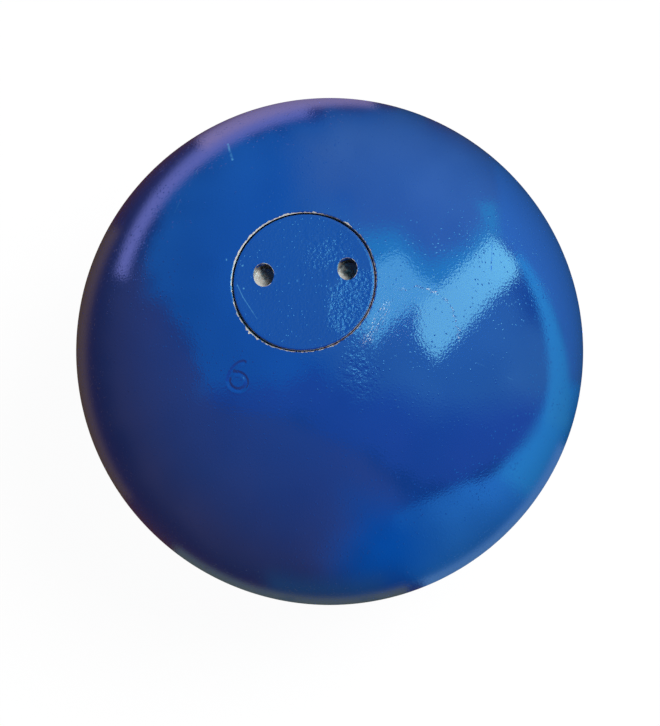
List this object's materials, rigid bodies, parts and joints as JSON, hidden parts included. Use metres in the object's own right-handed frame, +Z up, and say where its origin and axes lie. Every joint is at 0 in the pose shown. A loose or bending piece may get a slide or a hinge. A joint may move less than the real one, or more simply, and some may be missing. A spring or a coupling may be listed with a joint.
{
  "type": "shot put",
  "caption": "Enamelled iron ball for throwing, bored and weighted with lead, closed by a flush screwed plug that a pin spanner turns.",
  "frame": {"origin": "The ball's lowest point, where it touches a floor when the plug faces straight up.", "axes": "+Z runs up along the axis of the bore and the plug, out of the plug's face. +X runs along the line through the two spanner holes. +Y points towards the side of the plug's centre that this line lies on."},
  "size_m": [0.116, 0.116, 0.114],
  "materials": {
    "enamelled_iron": "gloss",
    "enamelled_steel": "gloss",
    "vulcanised_fibre": "matte",
    "cast_lead": "matte"
  },
  "bodies": {
    "ball": {"ball_body": "enamelled_iron", "lead_ballast": "cast_lead"},
    "washer": {"sealing_washer": "vulcanised_fibre"},
    "plug": {"threaded_plug": "enamelled_steel"}
  },
  "joints": [
    {"name": "plug_lift", "type": "slide", "parent": "ball", "child": "washer", "axis": [0, 0, 1], "range_m": [0, 0.012]},
    {"name": "plug_turn", "type": "hinge", "parent": "washer", "child": "plug", "pos_m": [0, 0, 0.11397], "axis": [0, 0, 1], "range_deg": [0, 2160]}
  ],
  "couplings": [
    {"joint": "plug_lift", "follows": "plug_turn", "m_per_rad": 0.00031831}
  ]
}
